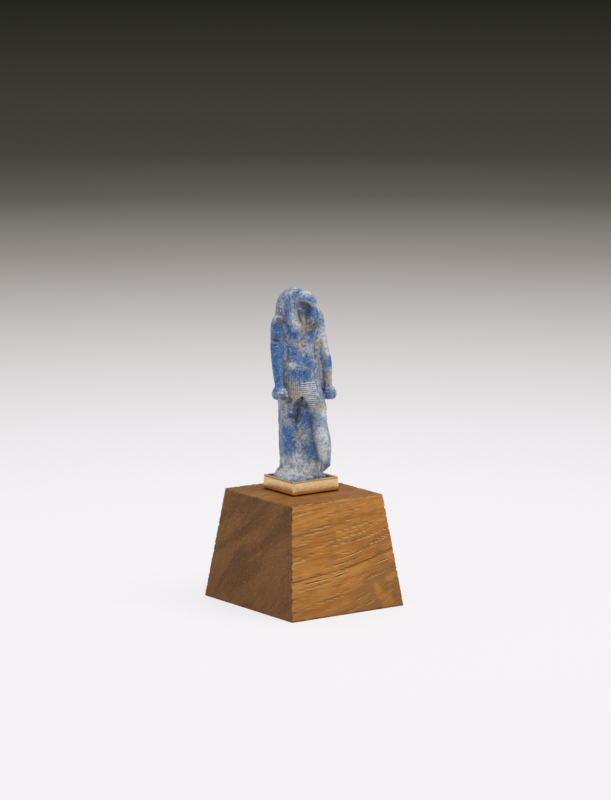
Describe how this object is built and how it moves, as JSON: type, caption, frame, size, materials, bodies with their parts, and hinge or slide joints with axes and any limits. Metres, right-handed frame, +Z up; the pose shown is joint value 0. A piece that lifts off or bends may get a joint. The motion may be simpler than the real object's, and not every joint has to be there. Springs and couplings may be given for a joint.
{
  "type": "thoth figure",
  "caption": "Small carved stone figure of a striding ibis-headed man with a back pillar, set in a shallow metal tray on a tapered wooden block.",
  "frame": {"origin": "middle of the wooden block's underside", "axes": "+Z up along the block, the figure faces -Y, +X is the figure's left"},
  "size_m": [0.02, 0.0224, 0.0463],
  "materials": {
    "lapis_lazuli": "worn polish, mottled blue, grey and ochre",
    "gold_sheet": "polished",
    "walnut_wood": "oiled, fine sawn, open grain"
  },
  "bodies": {
    "root": {"figure": "lapis_lazuli", "gold_tray": "gold_sheet", "wood_block": "walnut_wood"}
  },
  "joints": []
}
